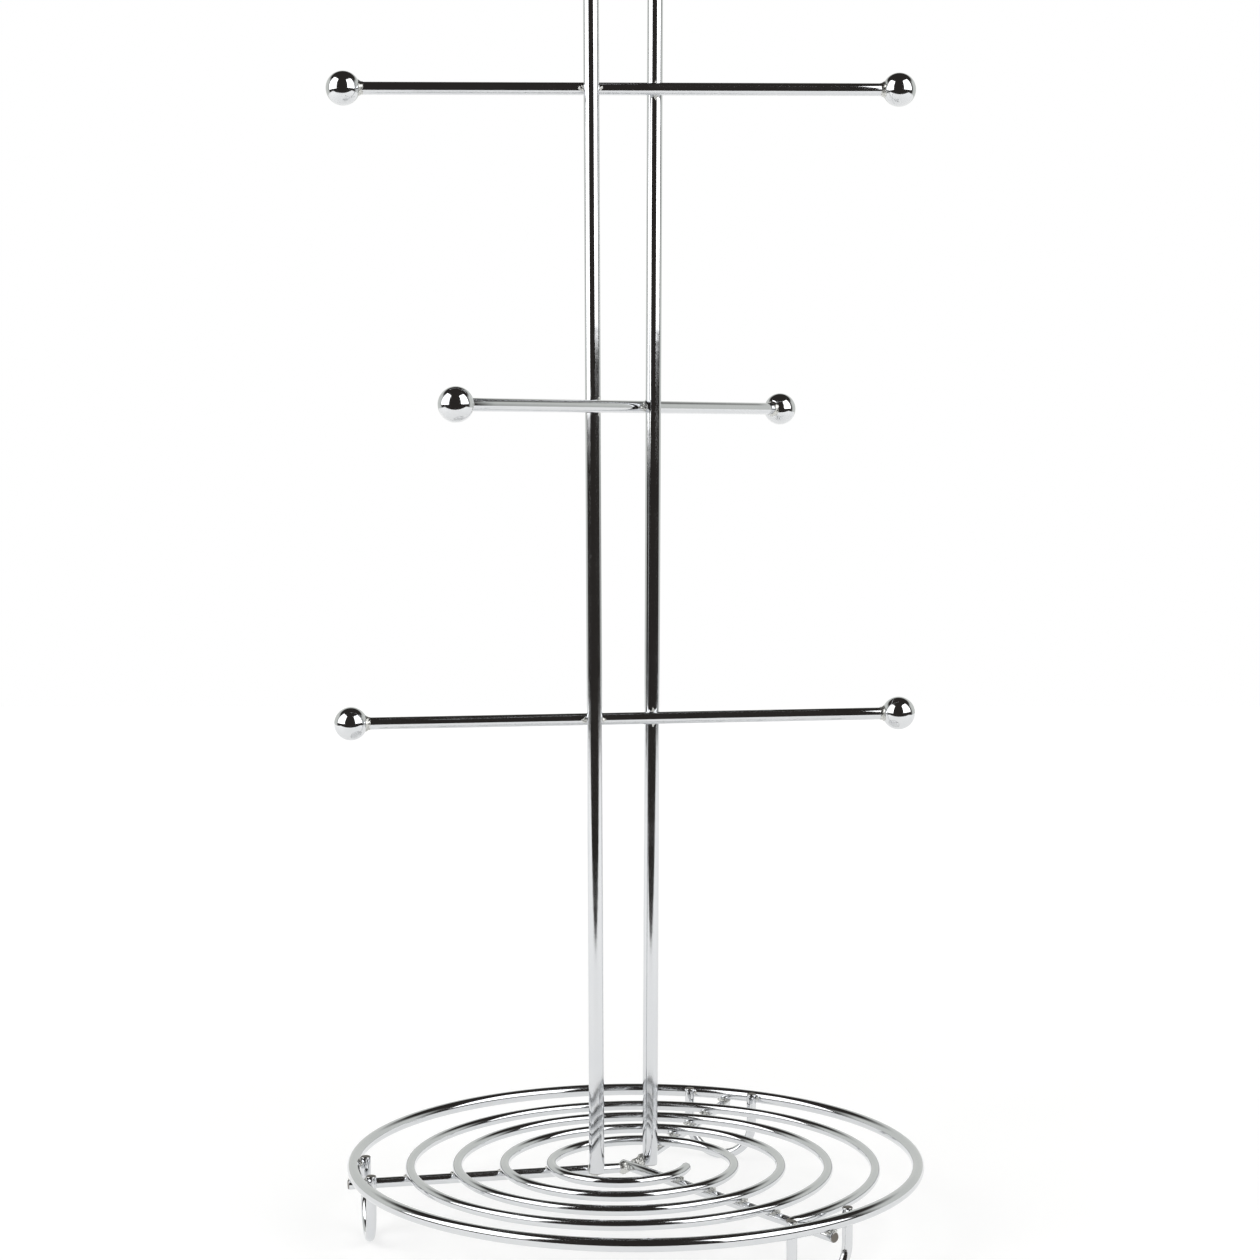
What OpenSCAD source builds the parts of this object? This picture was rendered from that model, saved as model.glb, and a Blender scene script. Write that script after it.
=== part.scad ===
// Wire mug tree: a hairpin mast with three crossed arms, welded onto a round wire base.
// Millimetres, +Z up. The origin is on the table, under the centre of the outer ring.
// The two legs of the mast stand side by side along X.

/* [Overall] */
// Height of the whole tree, from the table to the top of the hand loop
height = 505; // [460:1:620]
// Diameter of the outer ring, measured on its centreline
ring_d = 222; // [180:1:280]

/* [Base] */
// Wire thickness of the outer ring
ring_wire = 5; // [4:0.1:7]
// Height of the outer ring's centreline above the table
ring_h = 27; // [22:0.5:40]
// Angle of the right-hand foot and spoke; the other two follow at 120 degree steps
base_turn = 39.3; // [30:0.1:50]
// Wire thickness of the three spokes
spoke_wire = 4; // [3:0.1:5]
// How far the front spoke runs on past the point where the spokes meet
spoke_tail = 6; // [3:0.5:9]

/* [Spiral] */
// Wire thickness of the spiral
spiral_wire = 4; // [3:0.1:5]
// Number of whole turns
spiral_turns = 4; // [2:1:5]
// Angle that the wire runs on for after its last whole turn
spiral_tail = 40; // [10:1:120]
// Radius of the spiral at its inner end
spiral_start = 22.2; // [20:0.1:30]
// Direction of the inner end
spiral_turn = -42; // [-60:1:-20]
// Nominal clear space between the spiral's outer end and the outer ring
rim_gap = 8.6; // [7:0.1:15]
// Sideways place of the spiral's centre
spiral_x = -4; // [-5:0.1:1]
// Front to back place of the spiral's centre
spiral_y = -3; // [-5:0.1:1]

/* [Feet] */
// Wire thickness of the feet
foot_wire = 4; // [3:0.1:5]
// Distance between the two legs of a foot
foot_spread = 28; // [20:0.5:34]

/* [Mast] */
// Wire thickness of the mast
mast_wire = 6; // [5:0.1:8]
// Distance between the mast's legs at their lower ends
mast_low = 24.4; // [22:0.1:32]
// Outward lean of each leg, in degrees
mast_splay = 0.25; // [0:0.01:0.6]
// Sideways place of the mast's middle
mast_x = -2.5; // [-6:0.1:3]
// Front to back place of the mast
mast_y = 5.3; // [0:0.1:8]

/* [Arms] */
// Wire thickness of the arms
arm_wire = 4.8; // [4:0.1:6]
// Distance from the middle of an arm to the centre of its ball
arm_reach = 107.5; // [80:0.5:130]
// Height of the bottom arm above the table
first_arm = 202; // [150:1:230]
// Height of the hand loop above the top arm
loop_h = 60; // [45:1:90]
// How far the bottom, middle and top arms are welded off their middles
arm_shifts = [1.5, 5, 0.5]; // [-6:0.1:6]
// How far the right-hand ends of the bottom, middle and top arms are tipped up, in degrees
arm_tilts = [0.5, -0.8, 0.6]; // [-1:0.1:1]
// Diameter of the balls
ball_d = 13; // [11:0.1:18]

/* [Welds] */
// Root gap that a weld fills between two wires
weld_gap = 0.1; // [0.05:0.01:0.2]
// Clearance round an arm's end in its ball
ball_fit = 0.05; // [0.02:0.01:0.1]
// How far a weld stands out past the thicker of its two wires
weld_proud = 0.6; // [0.3:0.1:1]
// Length of the cone of weld at the neck of each ball
neck_weld = 1.6; // [1:0.1:3]
// Thickness of the weld round an arm, where it meets the ball
neck_skirt = 1.1; // [0.6:0.1:2]

/* [Hidden] */
$fn = 80;

// how far the wire swells where two of its lengths join
joint_swell = 0.02;

// wire radii
ring_r = ring_wire / 2;
spoke_r = spoke_wire / 2;
spiral_r = spiral_wire / 2;
foot_r = foot_wire / 2;
mast_r = mast_wire / 2;
arm_r = arm_wire / 2;
ball_r = ball_d / 2;

// levels in the base: the spokes lie under the ring, and the spiral lies on the spokes
spoke_top = ring_h - ring_r - weld_gap;
spoke_z = spoke_top - spoke_r;
spiral_z = spoke_top + weld_gap + spiral_r;

// the mast's legs lean outwards and are tangent to the bend at their top
mast_foot = spoke_z;
mast_span = height - mast_r - mast_foot;
bend_r = (mast_low / 2 + tan(mast_splay) * mast_span)
    / (cos(mast_splay) + tan(mast_splay) * (1 + sin(mast_splay)));
bend_z = height - mast_r - bend_r;
leg_length = (bend_z - bend_r * sin(mast_splay) - mast_foot) / cos(mast_splay);
function leg_gap(z) = mast_low + 2 * tan(mast_splay) * (z - mast_foot);

// the arms: 0 is the bottom one, 1 the middle one and 2 the top one
top_arm_h = height - loop_h;
function arm_z(i) = first_arm + i * (top_arm_h - first_arm) / 2;
// each arm is slewed until it touches both legs, the middle one the other way round
function arm_side(i) = i == 1 ? 1 : -1;
function arm_yaw(i) = arm_side(i) * asin(2 * (mast_r + arm_r + weld_gap) / leg_gap(arm_z(i)));

// plan helpers
function ray(a) = [cos(a), sin(a)];
function cross2(a, b) = a.x * b.y - a.y * b.x;
function bearing(v) = atan2(v.y, v.x);

// the spokes: 0 is the right-hand one, 1 the left-hand one and 2 the front one
function spoke_turn(k) = base_turn + 120 * k;
function spoke_end(k) = (ring_d / 2 + ring_r) * ray(spoke_turn(k));
function leg_foot(side) = [mast_x + side * mast_low / 2, mast_y];
// two of the spokes pass just behind a leg of the mast, close enough to weld to it
function beside_leg(k, side) =
    let (to_leg = leg_foot(side) - spoke_end(k))
    bearing(to_leg) - side * asin((mast_r + spoke_r + weld_gap) / norm(to_leg));
right_way = ray(beside_leg(0, 1));
left_way = ray(beside_leg(1, -1));
hub = spoke_end(0) + right_way * cross2(spoke_end(1) - spoke_end(0), left_way) / cross2(right_way, left_way);
front_way = (hub - spoke_end(2)) / norm(hub - spoke_end(2));
function spoke_way(k) = k == 0 ? right_way : k == 1 ? left_way : front_way;
// the side spokes stop where they butt against the front one
function butt_gap(k) =
    let (across = abs(cross2(spoke_way(k), front_way)), along = abs(spoke_way(k) * front_way))
    (spoke_r + weld_gap + spoke_r * along) / across;
function spoke_length(k) = norm(hub - spoke_end(k)) + (k == 2 ? spoke_tail : -butt_gap(k));

// the spiral is a chain of half turns struck from two centres a quarter pitch either side of its own
spiral_end = ring_d / 2 - ring_r - spiral_r - rim_gap;
spiral_pitch = (spiral_end - spiral_start) / (spiral_turns + spiral_tail / 360);
half_turns = 2 * spiral_turns;
function half_centre(i) =
    [spiral_x, spiral_y] - (i % 2 == 0 ? 1 : -1) * spiral_pitch / 4 * ray(spiral_turn);
function half_r(i) = spiral_start + spiral_pitch / 4 + i * spiral_pitch / 2;
function half_sweep(i) = i < half_turns ? 180 : spiral_tail;
// clockwise angle of a point, seen from the centre of its half turn, past the start of that half turn
function past_start(i, v) = (spiral_turn - 180 * (i % 2) - bearing(v) + 720) % 360;

// places where a spoke meets a circle, as distances along the spoke from its outer end
function meets(k, centre, r) =
    let (
        from = spoke_end(k) - centre,
        b = spoke_way(k) * from,
        root = b * b - from * from + r * r
    )
    root <= 0 ? [] : [for (t = [-b - sqrt(root), -b + sqrt(root)]) if (t > 0 && t < spoke_length(k)) t];
spiral_crossings = [
    for (k = [0:2], i = [0:half_turns], t = meets(k, half_centre(i), half_r(i)))
        let (p = spoke_end(k) + t * spoke_way(k))
        if (past_start(i, p - half_centre(i)) <= half_sweep(i)) p
];

// the feet: each loop stands just inside the ring, astride the end of a spoke
foot_bend = foot_spread / 2;
foot_reach = ring_d / 2 - ring_r - weld_gap - foot_r;
foot_in = sqrt(foot_reach * foot_reach - foot_bend * foot_bend);
foot_bend_z = foot_r + foot_bend;
foot_top = ring_h + ring_r;
// its welds stay just below the cut ends of its legs
foot_weld_r = ring_r - weld_gap;

// a weld is a bead round the middle of its root gap, less the wires that it joins
function bead_r(wire_r) = wire_r + weld_proud;
// the beads at the foot of the mast sit above the cut ends of its legs by this much
mast_bead_lift = spoke_r / 2;

// a straight round wire along +X
module rod(length, r) {
    rotate([0, 90, 0]) cylinder(h = length, r = r);
}

// a bent round wire: an arc of a ring round Z, in steps fine enough for the beads that fit against it
module bow(radius, r, sweep) {
    rotate_extrude(angle = sweep, $fn = 240) translate([radius, 0]) circle(r = r, $fn = 80);
}

// two lengths of one wire run into each other here: a hair's swelling makes them a single solid
module wire_joint(r) {
    sphere(r = r + joint_swell);
}

module mast() {
    color("silver") translate([mast_x, mast_y, 0]) {
        for (side = [-1, 1])
            translate([side * mast_low / 2, 0, mast_foot]) rotate([0, side * mast_splay, 0]) {
                cylinder(h = leg_length, r = mast_r);
                translate([0, 0, leg_length]) wire_joint(mast_r);
            }
        translate([0, 0, bend_z]) rotate([90, 0, 0])
            rotate([0, 0, -mast_splay]) bow(bend_r, mast_r, 180 + 2 * mast_splay);
    }
}

// a bead of weld, with its poles towards +X and -X, where the wires that it joins cut them away
module bead(r) {
    rotate([0, 90, 0]) sphere(r = r);
}

// places its children at the middle of an arm, with +X along the arm
module at_arm(i) {
    translate([mast_x, mast_y, arm_z(i)]) rotate([0, -arm_tilts[i], arm_yaw(i)])
        translate([arm_shifts[i], 0, 0]) children();
}

module arm(i) {
    color("silver") at_arm(i) translate([-arm_reach, 0, 0]) rod(2 * arm_reach, arm_r);
}

// places its children at the middle of a ball, with +Z along the arm towards the mast
module at_ball(i, side) {
    at_arm(i) translate([side * arm_reach, 0, 0]) rotate([0, side * -90, 0]) children();
}

// a ball drilled to its centre for the end of the arm
module ball(i, side) {
    color("silver") at_ball(i, side) difference() {
        sphere(r = ball_r);
        cylinder(h = ball_d, r = arm_r + ball_fit);
    }
}

// beads where an arm crosses the two legs of the mast
module arm_welds(i) {
    half_gap = leg_gap(arm_z(i)) / 2;
    out = ray(arm_yaw(i) + 90) * arm_side(i) * (mast_r + weld_gap / 2);
    lift = half_gap * cos(arm_yaw(i)) * tan(arm_tilts[i]);
    color("gray") difference() {
        for (side = [-1, 1])
            translate([mast_x, mast_y, arm_z(i)] + side * [half_gap + out.x, out.y, lift])
                rotate([0, 0, bearing(out)]) bead(bead_r(mast_r));
        mast();
        arm(i);
    }
}

// a small cone of weld round each arm where it enters its ball
module ball_welds() {
    // the cone starts inside the ball, level with the circle where its skirt meets the ball's face
    root_r = arm_r + neck_skirt;
    root_z = sqrt(ball_r * ball_r - root_r * root_r);
    color("gray") for (i = [0:2], side = [-1, 1])
        at_ball(i, side) difference() {
            translate([0, 0, root_z])
                cylinder(h = ball_r - root_z + neck_weld, r1 = root_r, r2 = arm_r + weld_gap);
            sphere(r = ball_r);
            cylinder(h = 2 * ball_d, r = arm_r);
        }
}

module outer_ring() {
    color("silver") translate([0, 0, ring_h]) bow(ring_d / 2, ring_r, 360);
}

module base_spiral() {
    color("silver") for (i = [0:half_turns])
        translate([half_centre(i).x, half_centre(i).y, spiral_z]) rotate([0, 0, spiral_turn - 180 * (i % 2)]) {
            rotate([0, 0, -half_sweep(i)]) bow(half_r(i), spiral_r, half_sweep(i));
            if (i > 0) translate([half_r(i), 0, 0]) wire_joint(spiral_r);
        }
}

module spoke(k) {
    color("silver") translate([spoke_end(k).x, spoke_end(k).y, spoke_z])
        rotate([0, 0, bearing(spoke_way(k))]) rod(spoke_length(k), spoke_r);
}

// a U of wire, standing with its bend on the table
module foot(k) {
    color("silver") rotate([0, 0, spoke_turn(k)]) translate([foot_in, 0, foot_bend_z]) {
        rotate([0, -90, 0]) rotate([0, 0, 90]) bow(foot_bend, foot_r, 180);
        for (side = [-1, 1])
            translate([0, side * foot_bend, 0]) cylinder(h = foot_top - foot_bend_z, r = foot_r);
    }
}

// beads where two of the spokes pass behind the legs of the mast
module mast_welds() {
    color("gray") difference() {
        for (side = [-1, 1]) {
            k = side > 0 ? 0 : 1;
            out = ray(bearing(spoke_way(k)) + side * -90) * (mast_r + weld_gap / 2);
            translate([leg_foot(side).x + out.x, leg_foot(side).y + out.y, spoke_z + mast_bead_lift])
                rotate([0, 0, bearing(out)]) bead(bead_r(spoke_r) + weld_proud);
        }
        mast();
        spoke(0);
        spoke(1);
    }
}

// beads where the side spokes butt against the front one
module hub_welds() {
    color("gray") difference() {
        for (k = [0, 1]) {
            p = hub - spoke_way(k) * butt_gap(k);
            translate([p.x, p.y, spoke_z]) sphere(r = bead_r(spoke_r));
        }
        for (k = [0:2]) spoke(k);
    }
}

// beads where the spiral lies across the spokes
module spiral_welds() {
    color("gray") difference() {
        for (p = spiral_crossings)
            translate([p.x, p.y, spoke_top + weld_gap / 2]) sphere(r = bead_r(max(spiral_r, spoke_r)));
        base_spiral();
        for (k = [0:2]) spoke(k);
    }
}

// beads where the ring lies on the spokes
module ring_welds() {
    color("gray") difference() {
        for (k = [0:2]) {
            p = spoke_end(k) + meets(k, [0, 0], ring_d / 2)[0] * spoke_way(k);
            translate([p.x, p.y, spoke_top + weld_gap / 2]) sphere(r = bead_r(spoke_r));
        }
        outer_ring();
        for (k = [0:2]) spoke(k);
    }
}

// beads where the legs of the feet stand against the inside of the ring
module foot_welds() {
    color("gray") difference() {
        for (k = [0:2], side = [-1, 1])
            rotate([0, 0, spoke_turn(k)]) translate([foot_in, side * foot_bend, 0])
                rotate([0, 0, side * atan2(foot_bend, foot_in)])
                    translate([foot_r + weld_gap / 2, 0, ring_h]) bead(foot_weld_r);
        outer_ring();
        for (k = [0:2]) foot(k);
    }
}

mast();
arm(2);  // top_arm
arm(1);  // middle_arm
arm(0);  // bottom_arm
ball(2, -1);  // top_left_ball
ball(2, 1);  // top_right_ball
ball(1, -1);  // middle_left_ball
ball(1, 1);  // middle_right_ball
ball(0, -1);  // bottom_left_ball
ball(0, 1);  // bottom_right_ball
outer_ring();
base_spiral();
spoke(0);  // right_spoke
spoke(1);  // left_spoke
spoke(2);  // front_spoke
foot(0);  // right_foot
foot(1);  // left_foot
foot(2);  // front_foot
arm_welds(2);  // top_arm_welds
arm_welds(1);  // middle_arm_welds
arm_welds(0);  // bottom_arm_welds
ball_welds();
mast_welds();
hub_welds();
spiral_welds();
ring_welds();
foot_welds();
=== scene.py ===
"""Chromed wire mug tree: drawn wires, polished balls and plated welds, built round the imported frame."""
import math

import bmesh
import bpy
from mathutils import Matrix, Vector


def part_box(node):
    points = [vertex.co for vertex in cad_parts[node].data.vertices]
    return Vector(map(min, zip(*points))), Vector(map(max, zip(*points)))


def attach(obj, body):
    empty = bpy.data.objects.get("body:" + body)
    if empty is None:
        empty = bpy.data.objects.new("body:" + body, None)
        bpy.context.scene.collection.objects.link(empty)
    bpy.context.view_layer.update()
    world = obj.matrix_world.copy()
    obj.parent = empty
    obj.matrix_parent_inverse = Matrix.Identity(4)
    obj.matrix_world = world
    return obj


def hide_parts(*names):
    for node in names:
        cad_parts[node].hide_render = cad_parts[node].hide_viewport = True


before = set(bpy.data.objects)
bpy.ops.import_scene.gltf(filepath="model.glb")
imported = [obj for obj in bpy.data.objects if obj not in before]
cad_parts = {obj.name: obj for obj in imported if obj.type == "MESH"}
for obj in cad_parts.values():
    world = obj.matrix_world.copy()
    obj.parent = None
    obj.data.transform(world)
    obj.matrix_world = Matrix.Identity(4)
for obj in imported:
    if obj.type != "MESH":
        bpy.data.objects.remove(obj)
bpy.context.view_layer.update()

MM = 0.001
BODY = "root"

# wire sizes, in millimetres
MAST_WIRE = 6.0
ARM_WIRE = 4.8
RING_WIRE = 5.0
BASE_WIRE = 4.0  # spokes, spiral and feet
MAST_LOW = 24.4  # between the mast's legs at their lower ends
BALL_FIT = 0.05  # clearance round an arm's end in its ball
NECK_WELD = 1.0  # length of the fillet of weld at a ball's neck
NECK_SKIRT = 0.7  # its thickness round the arm, where it meets the ball

# the spiral, in millimetres and degrees: half turns struck from two centres
SPIRAL_START = 22.2
SPIRAL_GAP = 8.6  # between the spiral's outer end and the ring
SPIRAL_TURNS = 4
SPIRAL_TAIL = 40
SPIRAL_TURN = -42
SPIRAL_PLACE = (-4.0, -3.0)


# ---------------------------------------------------------------- camera

CAMERA_AROUND = math.radians(30.488)
CAMERA_AIM = math.radians(30.369)
CAMERA_DOWN = math.radians(4.969)
CAMERA_AWAY = 1.08579
CAMERA_HEIGHT = 0.33142
CAMERA_LENS = 80.12

camera_data = bpy.data.cameras.new("camera")
camera_data.sensor_width = 36
camera_data.lens = CAMERA_LENS
camera = bpy.data.objects.new("camera", camera_data)
camera.location = (
    -CAMERA_AWAY * math.sin(CAMERA_AROUND),
    -CAMERA_AWAY * math.cos(CAMERA_AROUND),
    CAMERA_HEIGHT,
)
camera.rotation_euler = (math.pi / 2 - CAMERA_DOWN, 0, -CAMERA_AIM)
bpy.context.scene.collection.objects.link(camera)
bpy.context.scene.camera = camera
bpy.context.scene.view_settings.view_transform = "Standard"


# ---------------------------------------------------------------- helpers

def colour(code):
    """An sRGB hex colour such as "#C8CACC" as linear RGBA."""
    parts = [int(code[i:i + 2], 16) / 255 for i in (1, 3, 5)]
    return [p / 12.92 if p <= 0.04045 else ((p + 0.055) / 1.055) ** 2.4 for p in parts] + [1.0]


def add(tree, kind, values=None, **settings):
    """Adds a node. Each value is a constant, or another node's output to link."""
    node = tree.nodes.new(kind)
    for name, value in settings.items():
        setattr(node, name, value)
    for key, value in (values or {}).items():
        if isinstance(value, bpy.types.NodeSocket):
            tree.links.new(value, node.inputs[key])
        else:
            node.inputs[key].default_value = value
    return node


def new_tree(name, inputs):
    """A geometry node tree with a geometry input, named inputs and a geometry output."""
    tree = bpy.data.node_groups.new(name, "GeometryNodeTree")
    tree.interface.new_socket("Geometry", in_out="INPUT", socket_type="NodeSocketGeometry")
    for label, kind in inputs:
        tree.interface.new_socket(label, in_out="INPUT", socket_type="NodeSocket" + kind)
    tree.interface.new_socket("Geometry", in_out="OUTPUT", socket_type="NodeSocketGeometry")
    return tree, tree.nodes.new("NodeGroupInput").outputs


def new_object(name, points, edges=(), faces=()):
    mesh = bpy.data.meshes.new(name)
    mesh.from_pydata([tuple(p) for p in points], edges, faces)
    piece = bpy.data.objects.new(name, mesh)
    bpy.context.scene.collection.objects.link(piece)
    return piece


def set_tree(piece, tree, values):
    """Gives the piece a geometry nodes modifier, its inputs set by their identifiers."""
    modifier = piece.modifiers.new(tree.name, "NODES")
    modifier.node_group = tree
    sockets = {s.name: s.identifier for s in tree.interface.items_tree if s.in_out == "INPUT"}
    for label, value in values.items():
        modifier[sockets[label]] = value


def bake(piece):
    """Turns the piece's modifiers into a plain mesh with its faces pointing outwards."""
    graph = bpy.context.evaluated_depsgraph_get()
    mesh = bpy.data.meshes.new_from_object(piece.evaluated_get(graph), depsgraph=graph)
    piece.modifiers.clear()
    piece.data = mesh
    shape = bmesh.new()
    shape.from_mesh(mesh)
    bmesh.ops.recalc_face_normals(shape, faces=shape.faces)
    shape.to_mesh(mesh)
    shape.free()


def hand_over(piece, node):
    """The piece stands for the frame's node of its name."""
    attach(piece, BODY)
    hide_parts(node)


def new_material(name):
    material = bpy.data.materials.new(name)
    material.use_nodes = True
    material.node_tree.nodes.clear()
    return material, material.node_tree


# ---------------------------------------------------------------- materials

def chrome_plated_wire():
    """Bright chromium on drawn steel wire: fine lengthwise die lines under a smooth, slightly wavy plating.
    The sheared ends are duller and darker, because the plating is thin in there."""
    material, tree = new_material("chrome_plated_drawn_wire")
    wire = add(tree, "ShaderNodeAttribute", attribute_name="wire").outputs["Vector"]
    cut = add(tree, "ShaderNodeAttribute", attribute_name="cut_end").outputs["Fac"]
    place = add(tree, "ShaderNodeTexCoord").outputs["Object"]
    # die lines 0.35 mm apart and about 14 mm long, drawn coarser than real ones so that they show
    lines_at = add(tree, "ShaderNodeMapping", {"Vector": wire, "Scale": (2857, 2857, 71)})
    lines = add(tree, "ShaderNodeTexNoise", {
        "Vector": lines_at.outputs[0], "Scale": 1.0, "Detail": 2.0, "Roughness": 0.6})
    # plating waves about 5 mm long
    waves = add(tree, "ShaderNodeTexNoise", {"Vector": place, "Scale": 200.0, "Detail": 1.0})
    # handling haze in patches about 18 mm wide
    haze = add(tree, "ShaderNodeTexNoise", {"Vector": place, "Scale": 55.0, "Detail": 4.0})
    relief = add(tree, "ShaderNodeBump", {
        "Strength": 1.0, "Distance": 0.0000012, "Height": lines.outputs["Fac"]})
    relief = add(tree, "ShaderNodeBump", {
        "Strength": 1.0, "Distance": 0.000012, "Height": waves.outputs["Fac"],
        "Normal": relief.outputs[0]})
    gloss = add(tree, "ShaderNodeMapRange", {
        "Value": haze.outputs["Fac"], "From Min": 0.3, "From Max": 0.75, "To Min": 0.06, "To Max": 0.13})
    gloss = add(tree, "ShaderNodeMix", {"Factor": cut, 2: gloss.outputs[0], 3: 0.38})
    tone = add(tree, "ShaderNodeMix", {
        "Factor": haze.outputs["Fac"], 6: colour("#D3D5D8"), 7: colour("#DDDEDF")}, data_type="RGBA")
    tone = add(tree, "ShaderNodeMix", {
        "Factor": cut, 6: tone.outputs[2], 7: colour("#75706A")}, data_type="RGBA")
    shader = add(tree, "ShaderNodeBsdfPrincipled", {
        "Base Color": tone.outputs[2], "Metallic": 1.0, "Roughness": gloss.outputs[0],
        "Normal": relief.outputs[0]})
    add(tree, "ShaderNodeOutputMaterial", {"Surface": shader.outputs[0]})
    return material


def chrome_plated_ball():
    """Bright chromium on a tumbled and polished steel ball: almost a mirror, with hairline buffing marks."""
    material, tree = new_material("chrome_plated_polished_ball")
    place = add(tree, "ShaderNodeTexCoord").outputs["Object"]
    # soft dimples about 4 mm wide, and hairlines 0.25 mm apart
    dimples = add(tree, "ShaderNodeTexNoise", {"Vector": place, "Scale": 260.0, "Detail": 1.0})
    hairs_at = add(tree, "ShaderNodeMapping", {"Vector": place, "Scale": (600, 4000, 4000)})
    hairs = add(tree, "ShaderNodeTexNoise", {"Vector": hairs_at.outputs[0], "Scale": 1.0, "Detail": 2.0})
    relief = add(tree, "ShaderNodeBump", {
        "Strength": 1.0, "Distance": 0.000008, "Height": dimples.outputs["Fac"]})
    gloss = add(tree, "ShaderNodeMapRange", {
        "Value": hairs.outputs["Fac"], "From Min": 0.35, "From Max": 0.8, "To Min": 0.06, "To Max": 0.13})
    tone = add(tree, "ShaderNodeMix", {
        "Factor": dimples.outputs["Fac"], 6: colour("#D6D8DA"), 7: colour("#DFE0E1")}, data_type="RGBA")
    shader = add(tree, "ShaderNodeBsdfPrincipled", {
        "Base Color": tone.outputs[2], "Metallic": 1.0, "Roughness": gloss.outputs[0],
        "Normal": relief.outputs[0]})
    add(tree, "ShaderNodeOutputMaterial", {"Surface": shader.outputs[0]})
    return material


def plated_weld_metal():
    """Resistance weld flash under chromium: lumpy and matt where it was molten, so it looks pale and soft."""
    material, tree = new_material("plated_weld_flash")
    place = add(tree, "ShaderNodeTexCoord").outputs["Object"]
    # grains about 0.5 mm wide, and scale in patches of about 2 mm
    grain = add(tree, "ShaderNodeTexNoise", {"Vector": place, "Scale": 2000.0, "Detail": 3.0})
    patch = add(tree, "ShaderNodeTexNoise", {"Vector": place, "Scale": 500.0, "Detail": 2.0})
    relief = add(tree, "ShaderNodeBump", {
        "Strength": 1.0, "Distance": 0.00004, "Height": grain.outputs["Fac"]})
    gloss = add(tree, "ShaderNodeMapRange", {
        "Value": patch.outputs["Fac"], "From Min": 0.3, "From Max": 0.7, "To Min": 0.2, "To Max": 0.42})
    tone = add(tree, "ShaderNodeMix", {
        "Factor": patch.outputs["Fac"], 6: colour("#BFBEB9"), 7: colour("#E0E1DE")}, data_type="RGBA")
    shader = add(tree, "ShaderNodeBsdfPrincipled", {
        "Base Color": tone.outputs[2], "Metallic": 1.0, "Roughness": gloss.outputs[0],
        "Normal": relief.outputs[0]})
    add(tree, "ShaderNodeOutputMaterial", {"Surface": shader.outputs[0]})
    return material


def white_tabletop():
    """Matt white laminate with a fine grain. It glows a little, more towards the back, to stay even."""
    material, tree = new_material("matt_white_tabletop")
    place = add(tree, "ShaderNodeTexCoord").outputs["Object"]
    grain = add(tree, "ShaderNodeTexNoise", {"Vector": place, "Scale": 900.0, "Detail": 2.0})
    tone = add(tree, "ShaderNodeMix", {
        "Factor": grain.outputs["Fac"], 6: colour("#B9B9B8"), 7: colour("#BEBEBE")}, data_type="RGBA")
    away = add(tree, "ShaderNodeVectorMath", {0: place}, operation="LENGTH")
    glow = add(tree, "ShaderNodeMapRange", {
        "Value": away.outputs["Value"], "From Min": 0.25, "From Max": 1.7, "To Min": 0.56, "To Max": 0.8})
    shader = add(tree, "ShaderNodeBsdfPrincipled", {
        "Base Color": tone.outputs[2], "Roughness": 0.75, "Specular IOR Level": 0.1,
        "Emission Color": (1, 1, 1, 1), "Emission Strength": glow.outputs[0]})
    add(tree, "ShaderNodeOutputMaterial", {"Surface": shader.outputs[0]})
    return material


CHROME_WIRE = chrome_plated_wire()
CHROME_BALL = chrome_plated_ball()
WELD_METAL = plated_weld_metal()


# ---------------------------------------------------------------- wire, drawn along a path

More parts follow.
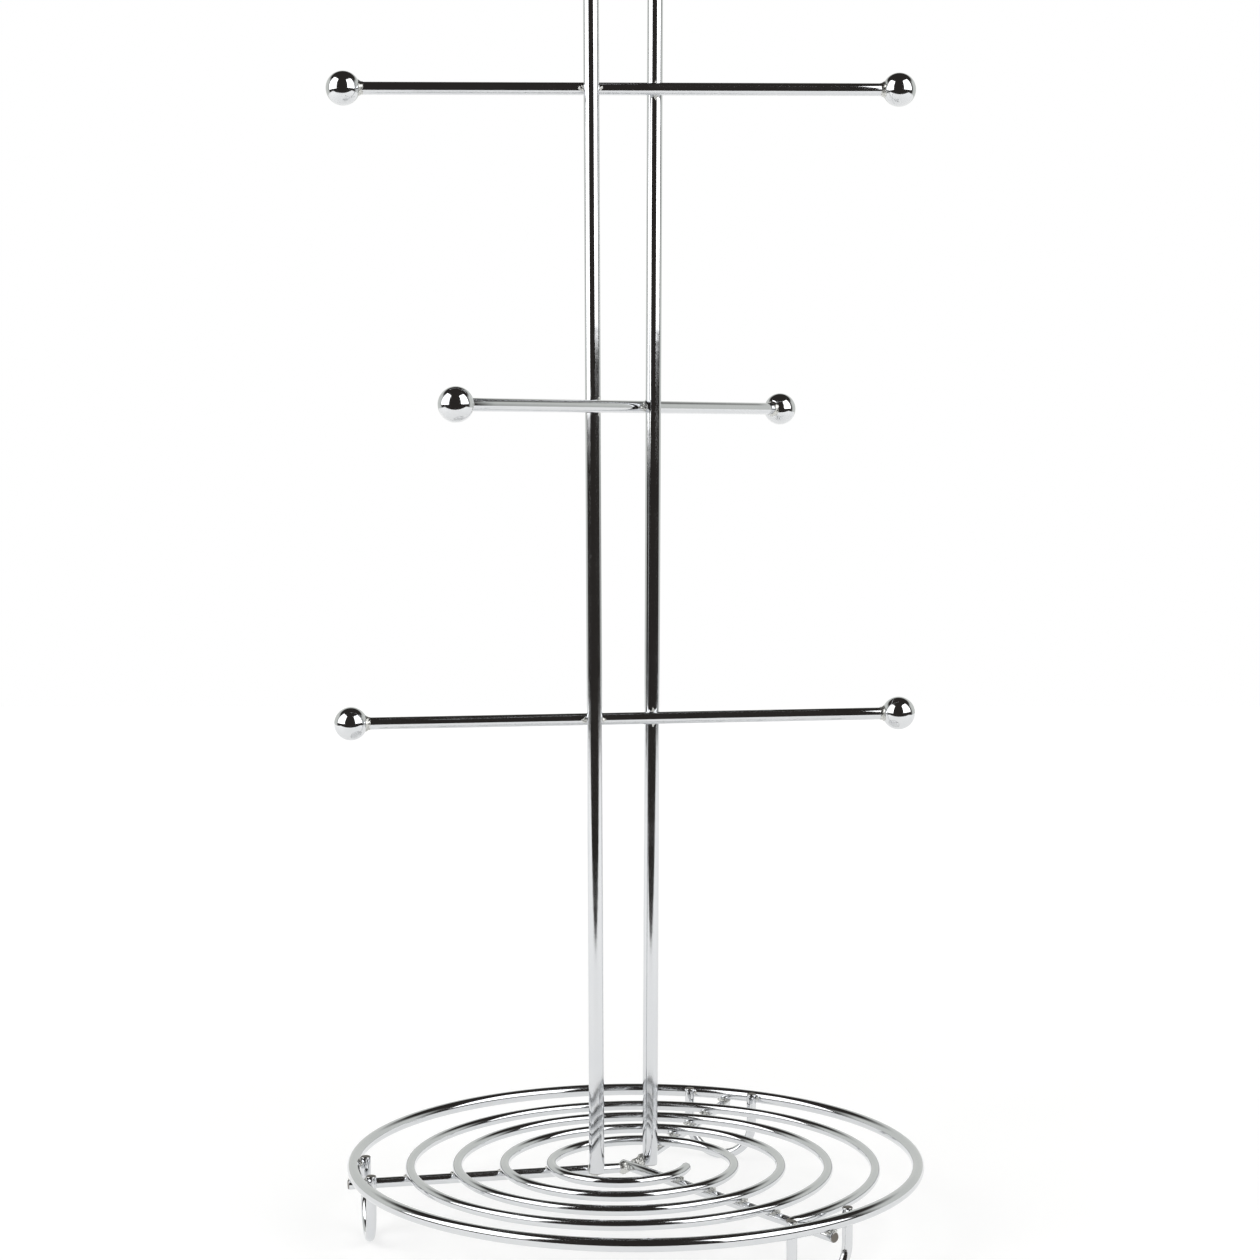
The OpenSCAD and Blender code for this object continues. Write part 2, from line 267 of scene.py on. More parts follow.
def drawn_wire_tree():
    """Sweeps a round wire along the piece's own line of edges, with its sheared ends rounded over.
    It stores the place on the wire, for the die lines, and marks the cut ends."""
    tree, given = new_tree("drawn_wire", [
        ("Wire Radius", "Float"), ("End Rounding", "Float"), ("Sides", "Int"), ("Finish", "Material")])
    curve = add(tree, "GeometryNodeMeshToCurve", {"Mesh": given["Geometry"]})
    along = add(tree, "GeometryNodeSplineParameter").outputs["Length"]
    whole = add(tree, "GeometryNodeSplineLength").outputs["Length"]
    looped = add(tree, "GeometryNodeInputSplineCyclic").outputs[0]
    left = add(tree, "ShaderNodeMath", {0: whole, 1: along}, operation="SUBTRACT")
    near_end = add(tree, "ShaderNodeMath", {0: along, 1: left.outputs[0]}, operation="MINIMUM")
    inwards = add(tree, "ShaderNodeMath", {
        0: near_end.outputs[0], 1: given["End Rounding"]}, operation="DIVIDE")
    outwards = add(tree, "ShaderNodeMath", {
        0: 1.0, 1: inwards.outputs[0]}, operation="SUBTRACT", use_clamp=True)
    opened = add(tree, "ShaderNodeMath", {0: 1.0, 1: looped}, operation="SUBTRACT")
    reach = add(tree, "ShaderNodeMath", {0: outwards.outputs[0], 1: opened.outputs[0]}, operation="MULTIPLY")
    square = add(tree, "ShaderNodeMath", {0: reach.outputs[0], 1: 2.0}, operation="POWER")
    rest = add(tree, "ShaderNodeMath", {0: 1.0, 1: square.outputs[0]}, operation="SUBTRACT")
    height = add(tree, "ShaderNodeMath", {0: rest.outputs[0]}, operation="SQRT")
    drop = add(tree, "ShaderNodeMath", {0: 1.0, 1: height.outputs[0]}, operation="SUBTRACT")
    share = add(tree, "ShaderNodeMath", {
        0: given["End Rounding"], 1: given["Wire Radius"]}, operation="DIVIDE")
    taper = add(tree, "ShaderNodeMath", {0: drop.outputs[0], 1: share.outputs[0]}, operation="MULTIPLY")
    scale = add(tree, "ShaderNodeMath", {0: 1.0, 1: taper.outputs[0]}, operation="SUBTRACT")

    kept = add(tree, "GeometryNodeCaptureAttribute", {"Geometry": curve.outputs[0]}, domain="POINT")
    for kind, name, value in (("FLOAT", "Along", along), ("FLOAT", "Reach", reach.outputs[0]),
                              ("FLOAT", "Scale", scale.outputs[0])):
        kept.capture_items.new(kind, name)
        tree.links.new(value, kept.inputs[name])
    ring = add(tree, "GeometryNodeCurvePrimitiveCircle", {
        "Resolution": given["Sides"], "Radius": given["Wire Radius"]})
    section = add(tree, "GeometryNodeCaptureAttribute", {"Geometry": ring.outputs[0]}, domain="POINT")
    section.capture_items.new("VECTOR", "Place")
    tree.links.new(add(tree, "GeometryNodeInputPosition").outputs[0], section.inputs["Place"])

    swept = add(tree, "GeometryNodeCurveToMesh", {
        "Curve": kept.outputs["Geometry"], "Profile Curve": section.outputs["Geometry"],
        "Scale": kept.outputs["Scale"], "Fill Caps": True})
    apart = add(tree, "ShaderNodeSeparateXYZ", {0: section.outputs["Place"]})
    place = add(tree, "ShaderNodeCombineXYZ", {
        0: apart.outputs[0], 1: apart.outputs[1], 2: kept.outputs["Along"]})
    stored = add(tree, "GeometryNodeStoreNamedAttribute", {
        "Geometry": swept.outputs[0], "Name": "wire", "Value": place.outputs[0]},
        data_type="FLOAT_VECTOR", domain="POINT")
    stored = add(tree, "GeometryNodeStoreNamedAttribute", {
        "Geometry": stored.outputs[0], "Name": "cut_end", "Value": kept.outputs["Reach"]},
        data_type="FLOAT", domain="POINT")
    smooth = add(tree, "GeometryNodeSetShadeSmooth", {"Geometry": stored.outputs[0]})
    real = add(tree, "GeometryNodeRealizeInstances", {"Geometry": smooth.outputs[0]})
    named = add(tree, "GeometryNodeSetMaterial", {"Geometry": real.outputs[0], "Material": given["Finish"]})
    add(tree, "NodeGroupOutput", {0: named.outputs[0]})
    return tree


DRAWN_WIRE = drawn_wire_tree()
END_ROUNDING = 0.5 * MM
END_SHARES = (0.06, 0.2, 0.45, 1.0)  # where the points of the rounding lie, as shares of it
WIRE_SIDES = 64
SPIRAL_SIDES = 56
SPIRAL_STEPS = 1200
BEND_STEP = 2.0  # degrees between points along the mast's bend
RING_STEP = 0.75
FOOT_STEP = 4.0


def wire_piece(node, path, wire, closed=False):
    """A length of wire of that thickness, in millimetres, along a path of points in metres."""
    path = [Vector(p) for p in path]
    if not closed:
        # a few extra points by each end carry its rounding
        steps = [END_ROUNDING * share for share in END_SHARES]
        first = (path[1] - path[0]).normalized()
        last = (path[-2] - path[-1]).normalized()
        path = [path[0]] + [path[0] + first * s for s in steps] + path[1:-1] \
            + [path[-1] + last * s for s in reversed(steps)] + [path[-1]]
    count = len(path)
    edges = [(i, i + 1) for i in range(count - 1)] + ([(count - 1, 0)] if closed else [])
    piece = new_object("chromed_" + node, path, edges)
    set_tree(piece, DRAWN_WIRE, {
        "Wire Radius": wire * MM / 2, "End Rounding": END_ROUNDING, "Sides": WIRE_SIDES,
        "Finish": CHROME_WIRE})
    bake(piece)
    hand_over(piece, node)


def arc(centre, radius, start, end, across, up, step):
    """Points along an arc, its angles in degrees from across towards up."""
    count = max(2, math.ceil(abs(end - start) / step) + 1)
    turns = [math.radians(start + (end - start) * i / (count - 1)) for i in range(count)]
    return [centre + across * radius * math.cos(t) + up * radius * math.sin(t) for t in turns]


def straight(start, end, step=0.02):
    """Points along a straight line, its ends included."""
    count = max(2, math.ceil((end - start).length / step) + 1)
    return [start.lerp(end, i / (count - 1)) for i in range(count)]


X = Vector((1, 0, 0))
Y = Vector((0, 1, 0))
Z = Vector((0, 0, 1))


# ---------------------------------------------------------------- mast

mast_lo, mast_hi = map(Vector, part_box("mast"))
mast_r = MAST_WIRE * MM / 2
mast_mid = (mast_lo + mast_hi) / 2
mast_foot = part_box("left_spoke")[0][2] + BASE_WIRE * MM / 2
bend_r = (mast_hi.x - mast_lo.x) / 2 - mast_r
bend_z = mast_hi.z - mast_r - bend_r
low = MAST_LOW * MM / 2
# the lean that makes each leg tangent to the bend, closed in on step by step
splay = 0.0
for _ in range(8):
    splay = math.asin((bend_r - low * math.cos(splay)) / (bend_z - mast_foot))


def leg_at(side, z):
    """The middle of one leg of the mast at that height."""
    return Vector((mast_mid.x + side * (low + math.tan(splay) * (z - mast_foot)), mast_mid.y, z))


bend_centre = Vector((mast_mid.x, mast_mid.y, bend_z))
lean = math.degrees(splay)
bend = arc(bend_centre, bend_r, 180 + lean, -lean, X, Z, BEND_STEP)
mast_path = straight(leg_at(-1, mast_foot), bend[0]) + bend[1:-1] + straight(bend[-1], leg_at(1, mast_foot))
wire_piece("mast", mast_path, MAST_WIRE)


# ---------------------------------------------------------------- arms

def middle(node):
    """The middle of a node's box."""
    lo, hi = map(Vector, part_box(node))
    return (lo + hi) / 2


LEVELS = ("top", "middle", "bottom")
arm_ends = {}
for level in LEVELS:
    arm_ends[level] = (middle(level + "_left_ball"), middle(level + "_right_ball"))
    wire_piece(level + "_arm", straight(*arm_ends[level]), ARM_WIRE)


# ---------------------------------------------------------------- balls

BALL_STEPS = 72


def turned(points, faces, profile, at, steps):
    """Adds a turned shape: its profile is (radius, height) pairs from one pole or edge to the other."""
    rings = []
    for radius, height in profile:
        if radius == 0:
            rings.append([len(points)])
            points.append(at @ Vector((0, 0, height)))
            continue
        rings.append(list(range(len(points), len(points) + steps)))
        for i in range(steps):
            turn = 2 * math.pi * i / steps
            points.append(at @ Vector((radius * math.cos(turn), radius * math.sin(turn), height)))
    for low_ring, high_ring in zip(rings, rings[1:]):
        for i in range(steps):
            j = (i + 1) % steps
            if len(low_ring) == 1:
                faces.append((low_ring[0], high_ring[i], high_ring[j]))
            elif len(high_ring) == 1:
                faces.append((low_ring[i], high_ring[0], low_ring[j]))
            else:
                faces.append((low_ring[i], high_ring[i], high_ring[j], low_ring[j]))


def along_arm(level, side):
    """A ball's place, with its own Z pointing along the arm towards the mast."""
    left, right = arm_ends[level]
    here, there = (left, right) if side == "left" else (right, left)
    return Matrix.Translation(here) @ (there - here).to_track_quat("Z", "Y").to_matrix().to_4x4()


def finish_solid(piece, material, node):
    """Gives a turned piece its finish and lets it stand for the frame's node."""
    piece.data.materials.append(material)
    for face in piece.data.polygons:
        face.use_smooth = True
    bake(piece)
    hand_over(piece, node)


ball_lo, ball_hi = map(Vector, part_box("top_left_ball"))
ball_r = (ball_hi.z - ball_lo.z) / 2
bore_r = (ARM_WIRE / 2 + BALL_FIT) * MM
LIP = 0.18 * MM  # the countersink at the bore's mouth


def ball_profile():
    """A ball drilled to its centre, with a small countersink round the bore's mouth."""
    mouth = math.asin((bore_r + LIP) / ball_r)
    mouth_z = ball_r * math.cos(mouth)
    profile = [(0, 0), (bore_r, 0), (bore_r, mouth_z - 2 * LIP), (bore_r + 0.4 * LIP, mouth_z - 0.7 * LIP)]
    rings = 40
    for i in range(rings):
        turn = mouth + (math.pi - mouth) * i / rings
        profile.append((ball_r * math.sin(turn), ball_r * math.cos(turn)))
    return profile + [(0, -ball_r)]


for level in LEVELS:
    for side in ("left", "right"):
        points, faces = [], []
        turned(points, faces, ball_profile(), along_arm(level, side), BALL_STEPS)
        node = f"{level}_{side}_ball"
        finish_solid(new_object("polished_" + node, points, (), faces), CHROME_BALL, node)


# ---------------------------------------------------------------- base

def rod_ends(node, radius, rising):
    """The ends of a level rod's middle line, from its box. rising is 1 if it goes to +Y as it goes to +X."""
    lo, hi = map(Vector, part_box(node))
    size = hi - lo
    # the rod's thickness widens its box by a share that its direction sets, so the two are closed in on
    way = Vector((size.x, size.y)).normalized()
    for _ in range(12):
        way = Vector((size.x - 2 * radius * way.y, size.y - 2 * radius * way.x)).normalized()
    half = Vector((size.x / 2 - radius * way.y, rising * (size.y / 2 - radius * way.x), 0))
    centre = (lo + hi) / 2
    return centre - half, centre + half


spoke_r = BASE_WIRE * MM / 2
spoke_ends = {
    "right_spoke": rod_ends("right_spoke", spoke_r, 1),
    "left_spoke": rod_ends("left_spoke", spoke_r, -1),
    "front_spoke": rod_ends("front_spoke", spoke_r, -1),
}
for node, (start, end) in spoke_ends.items():
    wire_piece(node, straight(start, end), BASE_WIRE)

ring_lo, ring_hi = map(Vector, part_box("outer_ring"))
ring_middle = (ring_lo + ring_hi) / 2
ring_wire_r = RING_WIRE * MM / 2
ring_r = (ring_hi.x - ring_lo.x) / 2 - ring_wire_r
ring_centre = Vector((0, 0, ring_middle.z))
# the ring's own butt joint lies over the front spoke, where the weld hides it
front_outer = min(spoke_ends["front_spoke"], key=lambda p: p.y)
joint_at = math.degrees(math.atan2(front_outer.y, front_outer.x))
ring_path = arc(ring_centre, ring_r, joint_at, joint_at + 360, X, Y, RING_STEP)[:-1]
wire_piece("outer_ring", ring_path, RING_WIRE, closed=True)

foot_r = BASE_WIRE * MM / 2
FOOT_SPREAD = 28.0  # between the legs of a foot, in millimetres


def foot_path(node):
    """A U of wire astride the end of a spoke, its bend standing on the table."""
    lo, hi = map(Vector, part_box(node))
    centre = (lo + hi) / 2
    half = FOOT_SPREAD * MM / 2
    across = Vector((hi.x - lo.x - 2 * foot_r, hi.y - lo.y - 2 * foot_r, 0))
    # the U lies square to the line from the tree's middle
    if centre.x * centre.y > 0:
        across.x = -across.x
    across.normalize()
    bend_at = Vector((centre.x, centre.y, lo.z + foot_r + half))
    under = arc(bend_at, half, 180, 360, across, Z, FOOT_STEP)
    top = Z * (hi.z - bend_at.z)
    return straight(under[0] + top, under[0]) + under[1:-1] + straight(under[-1], under[-1] + top)


for node in ("right_foot", "left_foot", "front_foot"):
    wire_piece(node, foot_path(node), BASE_WIRE)


# ---------------------------------------------------------------- spiral

def spiral_path_tree():
    """A line of points along half turns, struck in turn from two centres a quarter pitch off the middle."""
    tree, given = new_tree("spiral_path", [
        ("Start Radius", "Float"), ("Pitch", "Float"), ("Sweep", "Float"), ("First Turn", "Float"),
        ("Steps", "Int"), ("Place", "Vector")])
    count = add(tree, "ShaderNodeMath", {0: given["Steps"], 1: 1.0}, operation="ADD")
    line = add(tree, "GeometryNodeMeshLine", {"Count": count.outputs[0]})
    index = add(tree, "GeometryNodeInputIndex").outputs[0]
    share = add(tree, "ShaderNodeMath", {0: index, 1: given["Steps"]}, operation="DIVIDE")
    swept = add(tree, "ShaderNodeMath", {0: share.outputs[0], 1: given["Sweep"]}, operation="MULTIPLY")
    halves = add(tree, "ShaderNodeMath", {0: swept.outputs[0], 1: math.pi}, operation="DIVIDE")
    half = add(tree, "ShaderNodeMath", {0: halves.outputs[0]}, operation="FLOOR")
    odd = add(tree, "ShaderNodeMath", {0: half.outputs[0], 1: 2.0}, operation="MODULO")
    side = add(tree, "ShaderNodeMath", {0: odd.outputs[0], 1: 2.0, 2: -1.0}, operation="MULTIPLY_ADD")
    quarter = add(tree, "ShaderNodeMath", {0: given["Pitch"], 1: 0.25}, operation="MULTIPLY")
    off = add(tree, "ShaderNodeMath", {0: side.outputs[0], 1: quarter.outputs[0]}, operation="MULTIPLY")
    halved = add(tree, "ShaderNodeMath", {0: given["Pitch"], 1: 0.5}, operation="MULTIPLY")
    grown = add(tree, "ShaderNodeMath", {
        0: half.outputs[0], 1: halved.outputs[0], 2: quarter.outputs[0]}, operation="MULTIPLY_ADD")
    radius = add(tree, "ShaderNodeMath", {0: given["Start Radius"], 1: grown.outputs[0]}, operation="ADD")
    turn = add(tree, "ShaderNodeMath", {0: given["First Turn"], 1: swept.outputs[0]}, operation="SUBTRACT")
    out_x = add(tree, "ShaderNodeMath", {0: turn.outputs[0]}, operation="COSINE")
    out_y = add(tree, "ShaderNodeMath", {0: turn.outputs[0]}, operation="SINE")
    off_x = add(tree, "ShaderNodeMath", {0: given["First Turn"]}, operation="COSINE")
    off_y = add(tree, "ShaderNodeMath", {0: given["First Turn"]}, operation="SINE")
    out = add(tree, "ShaderNodeCombineXYZ", {0: out_x.outputs[0], 1: out_y.outputs[0]})
    sidewards = add(tree, "ShaderNodeCombineXYZ", {0: off_x.outputs[0], 1: off_y.outputs[0]})
    arm = add(tree, "ShaderNodeVectorMath", {
        0: out.outputs[0], "Scale": radius.outputs[0]}, operation="SCALE")
    shift = add(tree, "ShaderNodeVectorMath", {
        0: sidewards.outputs[0], "Scale": off.outputs[0]}, operation="SCALE")
    both = add(tree, "ShaderNodeVectorMath", {0: arm.outputs[0], 1: shift.outputs[0]}, operation="ADD")
    place = add(tree, "ShaderNodeVectorMath", {0: both.outputs[0], 1: given["Place"]}, operation="ADD")
    moved = add(tree, "GeometryNodeSetPosition", {"Geometry": line.outputs[0], "Position": place.outputs[0]})
    add(tree, "NodeGroupOutput", {0: moved.outputs[0]})
    return tree


spiral_end = ring_r / MM - RING_WIRE / 2 - BASE_WIRE / 2 - SPIRAL_GAP
spiral_pitch = (spiral_end - SPIRAL_START) / (SPIRAL_TURNS + SPIRAL_TAIL / 360)
spiral_z = middle("base_spiral").z
spiral = new_object("chromed_base_spiral", [(0, 0, 0)])
set_tree(spiral, spiral_path_tree(), {
    "Start Radius": SPIRAL_START * MM, "Pitch": spiral_pitch * MM,
    "Sweep": math.radians(360 * SPIRAL_TURNS + SPIRAL_TAIL), "First Turn": math.radians(SPIRAL_TURN),
    "Steps": SPIRAL_STEPS, "Place": (SPIRAL_PLACE[0] * MM, SPIRAL_PLACE[1] * MM, spiral_z)})
set_tree(spiral, DRAWN_WIRE, {
    "Wire Radius": BASE_WIRE * MM / 2, "End Rounding": END_ROUNDING, "Sides": SPIRAL_SIDES,
    "Finish": CHROME_WIRE})
bake(spiral)
hand_over(spiral, "base_spiral")


# ---------------------------------------------------------------- welds

def weld_flash_tree():
    """Lumps of flash on the piece's own points, each stretched along the way stored on its point,
    roughened, with a few specks of spatter thrown round them."""
    tree, given = new_tree("weld_flash", [
        ("Roughness", "Float"), ("Grain", "Float"), ("Spatter", "Float"), ("Speck", "Float"),
        ("Seed", "Int"), ("Finish", "Material")])
    way = add(tree, "GeometryNodeInputNamedAttribute", {"Name": "way"}, data_type="FLOAT_VECTOR")
    size = add(tree, "GeometryNodeInputNamedAttribute", {"Name": "size"}, data_type="FLOAT_VECTOR")
    aim = add(tree, "FunctionNodeAlignRotationToVector", {
        "Vector": way.outputs[0]}, axis="X", pivot_axis="AUTO")
    lump = add(tree, "GeometryNodeMeshIcoSphere", {"Radius": 1.0, "Subdivisions": 5})
    spots = add(tree, "GeometryNodeMeshToPoints", {"Mesh": given["Geometry"]})
    laid = add(tree, "GeometryNodeInstanceOnPoints", {
        "Points": spots.outputs[0], "Instance": lump.outputs[0], "Rotation": aim.outputs[0],
        "Scale": size.outputs[0]})
    lumps = add(tree, "GeometryNodeRealizeInstances", {"Geometry": laid.outputs[0]})
    noise = add(tree, "ShaderNodeTexNoise", {"Scale": given["Grain"], "Detail": 3.0, "W": given["Seed"]},
                noise_dimensions="4D")
    level = add(tree, "ShaderNodeMath", {0: noise.outputs["Fac"], 1: 0.55}, operation="SUBTRACT")
    push = add(tree, "ShaderNodeMath", {0: level.outputs[0], 1: given["Roughness"]}, operation="MULTIPLY")
    normal = add(tree, "GeometryNodeInputNormal").outputs[0]
    offset = add(tree, "ShaderNodeVectorMath", {0: normal, "Scale": push.outputs[0]}, operation="SCALE")
    rough = add(tree, "GeometryNodeSetPosition", {"Geometry": lumps.outputs[0], "Offset": offset.outputs[0]})
    thrown = add(tree, "GeometryNodeDistributePointsOnFaces", {
        "Mesh": rough.outputs[0], "Density": given["Spatter"], "Seed": given["Seed"]})
    speck = add(tree, "GeometryNodeMeshIcoSphere", {"Radius": given["Speck"], "Subdivisions": 2})
    grow = add(tree, "FunctionNodeRandomValue", {2: 0.45, 3: 1.3, "Seed": given["Seed"]}, data_type="FLOAT")
    specks = add(tree, "GeometryNodeInstanceOnPoints", {
        "Points": thrown.outputs["Points"], "Instance": speck.outputs[0], "Scale": grow.outputs[1]})
    joined = add(tree, "GeometryNodeJoinGeometry", {"Geometry": rough.outputs[0]})
    tree.links.new(specks.outputs[0], joined.inputs[0])
    real = add(tree, "GeometryNodeRealizeInstances", {"Geometry": joined.outputs[0]})
    smooth = add(tree, "GeometryNodeSetShadeSmooth", {"Geometry": real.outputs[0]})
    named = add(tree, "GeometryNodeSetMaterial", {"Geometry": smooth.outputs[0], "Material": given["Finish"]})
    add(tree, "NodeGroupOutput", {0: named.outputs[0]})
    return tree


WELD_FLASH = weld_flash_tree()
SPECK = 0.32  # radius of a speck of spatter, in millimetres
SPATTER = 26000.0  # specks to a square metre of flash, which is about one on each lump
FLASH_ROUGHNESS = 1.5  # how far the noise may move the flash's skin, in millimetres
FLASH_GRAIN = 900.0  # lumps to a metre


def flash_piece(node, lumps, seed):
    """A node of welds. Each lump is its place, its way and its half sizes in millimetres, length first."""
    piece = new_object("flash_" + node, [place for place, _, _ in lumps])
    for name, values in (("way", [way for _, way, _ in lumps]),
                         ("size", [Vector(size) * MM for _, _, size in lumps])):
        stored = piece.data.attributes.new(name, "FLOAT_VECTOR", "POINT")
        for item, value in zip(stored.data, values):
            item.vector = value
    set_tree(piece, WELD_FLASH, {
        "Roughness": FLASH_ROUGHNESS * MM, "Grain": FLASH_GRAIN, "Spatter": SPATTER, "Speck": SPECK * MM,
        "Seed": seed, "Finish": WELD_METAL})
    bake(piece)
    # one finish, without the empty slot that the joined lumps bring
    for face in piece.data.polygons:
        face.material_index = 0
    piece.data.materials.clear()
    piece.data.materials.append(WELD_METAL)
    hand_over(piece, node)


def way_of(ends):
    """The direction from a wire's first end to its other."""
    return (ends[1] - ends[0]).normalized()


def weld_centres(node):
    """The middle of each separate bead in one of the frame's nodes."""
    shape = bmesh.new()
    shape.from_mesh(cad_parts[node].data)
    bmesh.ops.remove_doubles(shape, verts=shape.verts, dist=1e-7)
    waiting = set(shape.verts)
    centres = []
    for first in shape.verts:
        if first not in waiting:
            continue
        waiting.discard(first)
        bead, edge = [], [first]
        while edge:
            vertex = edge.pop()
            bead.append(vertex.co.copy())
            for link in vertex.link_edges:
                other = link.other_vert(vertex)
                if other in waiting:
                    waiting.discard(other)
                    edge.append(other)
        lo = Vector([min(p[i] for p in bead) for i in range(3)])
        hi = Vector([max(p[i] for p in bead) for i in range(3)])
        centres.append((lo + hi) / 2)
    shape.free()
    return centres


# at each crossing the flash is squeezed out along both wires
for seed, level in enumerate(LEVELS, start=11):
    lumps = []
    arm_way = way_of(arm_ends[level])
    for centre in weld_centres(level + "_arm_welds"):
        lumps.append((centre, arm_way, (4.9, 0.9, 1.5)))
        lumps.append((centre, Z, (3.9, 1.5, 0.9)))
    flash_piece(level + "_arm_welds", lumps, seed)

lumps = []
for centre in weld_centres("spiral_welds"):
    spoke = min(spoke_ends.values(), key=lambda ends: abs(way_of(ends).cross(centre - ends[0]).z))
    spoke_way = way_of(spoke)
    round_way = Z.cross(Vector((centre.x, centre.y, 0))).normalized()
    lumps.append((centre, spoke_way, (2.9, 1.4, 0.8)))
    lumps.append((centre, round_way, (2.8, 1.3, 0.8)))
flash_piece("spiral_welds", lumps, 21)

lumps = []
for centre in weld_centres("ring_welds"):
    round_way = Z.cross(Vector((centre.x, centre.y, 0))).normalized()
    lumps.append((centre, round_way, (3.2, 1.5, 0.9)))
    lumps.append((centre, Vector((centre.x, centre.y, 0)).normalized(), (2.4, 1.3, 0.8)))
flash_piece("ring_welds", lumps, 31)

lumps = []
for centre in weld_centres("foot_welds"):
    round_way = Z.cross(Vector((centre.x, centre.y, 0))).normalized()
    lumps.append((centre, Z, (2.4, 0.9, 1.3)))
    lumps.append((centre, round_way, (2.6, 1.0, 1.1)))
flash_piece("foot_welds", lumps, 41)

lumps = [(centre, X, (2.7, 2.4, 2.6)) for centre in weld_centres("hub_welds")]
flash_piece("hub_welds", lumps, 51)

lumps = [(centre, X, (2.9, 2.9, 3.1)) for centre in weld_centres("mast_welds")]
flash_piece("mast_welds", lumps, 61)


NECK_STEPS = 48
NECK_SINK = 0.2 * MM  # how far the weld reaches into the wire
NECK_FILM = 0.05 * MM  # its thickness where it runs out


def neck_profile():
    """A small fillet of weld round the arm, from the ball's face down to the wire."""
    arm_r = ARM_WIRE * MM / 2
    foot = NECK_SKIRT * MM
    base_z = math.sqrt(ball_r ** 2 - (arm_r + foot) ** 2)
    length = ball_r - base_z + NECK_WELD * MM
    profile = [(arm_r - NECK_SINK, base_z - NECK_SINK / 2)]
    steps = 10
    for i in range(steps + 1):
        t = i / steps
        profile.append((arm_r + foot * (1 - t) ** 1.8 + NECK_FILM, base_z + length * t))
    return profile + [(arm_r - NECK_SINK, base_z + length)]


points, faces = [], []
for level in LEVELS:
    for side in ("left", "right"):
        start = len(points)
        at = along_arm(level, side)
        turned(points, faces, neck_profile() + neck_profile()[:1], at, NECK_STEPS)
        # ripples in the weld, a few round the neck
        for i in range(start, len(points)):
            own = at.inverted() @ points[i]
            turn = math.atan2(own.y, own.x)
            swell = 1 + 0.035 * math.sin(5 * turn + start) + 0.02 * math.sin(9 * turn + own.z * 4000)
            points[i] = at @ Vector((own.x * swell, own.y * swell, own.z))
necks = new_object("fillet_ball_welds", points, (), faces)
shape = bmesh.new()
shape.from_mesh(necks.data)
bmesh.ops.remove_doubles(shape, verts=shape.verts, dist=1e-7)
shape.to_mesh(necks.data)
shape.free()
finish_solid(necks, WELD_METAL, "ball_welds")


# ---------------------------------------------------------------- table and light

# the table's edges, in metres from the tree
TABLE_FRONT = 0.57
TABLE_BACK = 1.8
TABLE_SIDE = 1.5
turn = Matrix.Rotation(-CAMERA_AROUND, 4, "Z")
corners = [
    (-TABLE_SIDE, -TABLE_FRONT), (TABLE_SIDE, -TABLE_FRONT),
    (TABLE_SIDE, TABLE_BACK), (-TABLE_SIDE, TABLE_BACK),
]
table = new_object("table", [turn @ Vector((x, y, 0)) for x, y in corners], (), [(0, 1, 2, 3)])
table.data.materials.append(white_tabletop())


def softbox(name, around, away, height, size, radiance, tip=0.0, in_gloss=True):
    """A soft light at that angle from the camera's side, in degrees, facing the tree. size is in metres."""
    light = bpy.data.lights.new(name, "AREA")
    light.shape = "RECTANGLE"
    light.size, light.size_y = size
    light.energy = radiance * math.pi * size[0] * size[1]
    lamp = bpy.data.objects.new(name, light)
    bearing = math.radians(around) - CAMERA_AROUND
    lamp.location = Vector((math.sin(bearing) * away, -math.cos(bearing) * away, height))
    lamp.rotation_euler = (math.pi / 2 - math.radians(tip), 0, bearing)
    lamp.visible_camera = False
    lamp.visible_glossy = in_gloss
    bpy.context.scene.collection.objects.link(lamp)
    return lamp


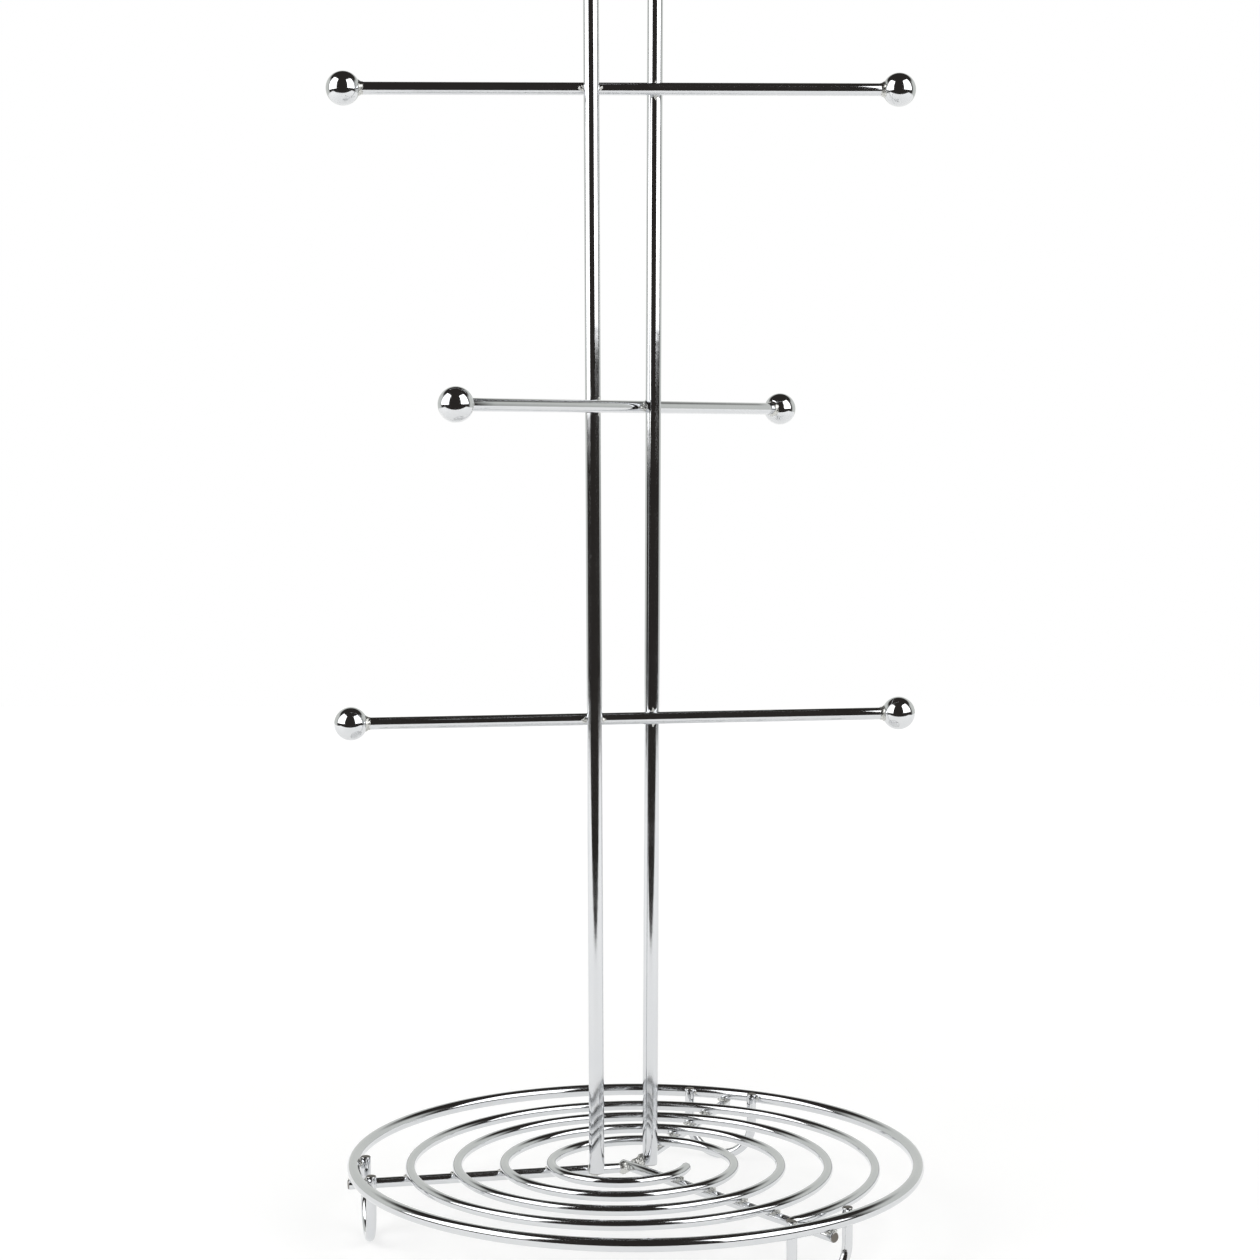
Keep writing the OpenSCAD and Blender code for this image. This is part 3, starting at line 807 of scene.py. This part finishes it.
BOX_AWAY = 1.35
BOX_SIZE = (1.45, 2.0)
softbox("left_softbox", -69.5, BOX_AWAY, 0.30 + BOX_SIZE[1] / 2, BOX_SIZE, 2.4)
softbox("right_softbox", 61.5, BOX_AWAY, 0.38 + BOX_SIZE[1] / 2, BOX_SIZE, 2.4)
softbox("overhead_fill", 180, 0.6, 2.2, (6.0, 6.0), 0.45, tip=90, in_gloss=False)

world = bpy.data.worlds.new("studio")
world.use_nodes = True
world.node_tree.nodes.clear()
path = add(world.node_tree, "ShaderNodeLightPath")
room = add(world.node_tree, "ShaderNodeBackground", {"Color": colour("#302D2B"), "Strength": 1.0})
# a pale backdrop stands behind the tree, up to about 30 degrees high
backdrop = add(world.node_tree, "ShaderNodeBackground", {"Color": colour("#E4E6E2"), "Strength": 0.9})
way = add(world.node_tree, "ShaderNodeTexCoord").outputs["Generated"]
behind = add(world.node_tree, "ShaderNodeVectorMath", {
    0: way, 1: (math.sin(CAMERA_AIM), math.cos(CAMERA_AIM), 0)}, operation="DOT_PRODUCT")
behind = add(world.node_tree, "ShaderNodeMapRange", {
    "Value": behind.outputs["Value"], "From Min": 0.1, "From Max": 0.35})
up = add(world.node_tree, "ShaderNodeSeparateXYZ", {0: way})
under = add(world.node_tree, "ShaderNodeMapRange", {
    "Value": up.outputs[2], "From Min": 0.45, "From Max": 0.6, "To Min": 1.0, "To Max": 0.0})
share = add(world.node_tree, "ShaderNodeMath", {
    0: behind.outputs[0], 1: under.outputs[0]}, operation="MULTIPLY")
studio = add(world.node_tree, "ShaderNodeMixShader", {
    0: share.outputs[0], 1: room.outputs[0], 2: backdrop.outputs[0]})
white = add(world.node_tree, "ShaderNodeBackground", {"Color": (1, 1, 1, 1), "Strength": 1.0})
seen = add(world.node_tree, "ShaderNodeMixShader", {
    0: path.outputs["Is Camera Ray"], 1: studio.outputs[0], 2: white.outputs[0]})
add(world.node_tree, "ShaderNodeOutputWorld", {0: seen.outputs[0]})
bpy.context.scene.world = world
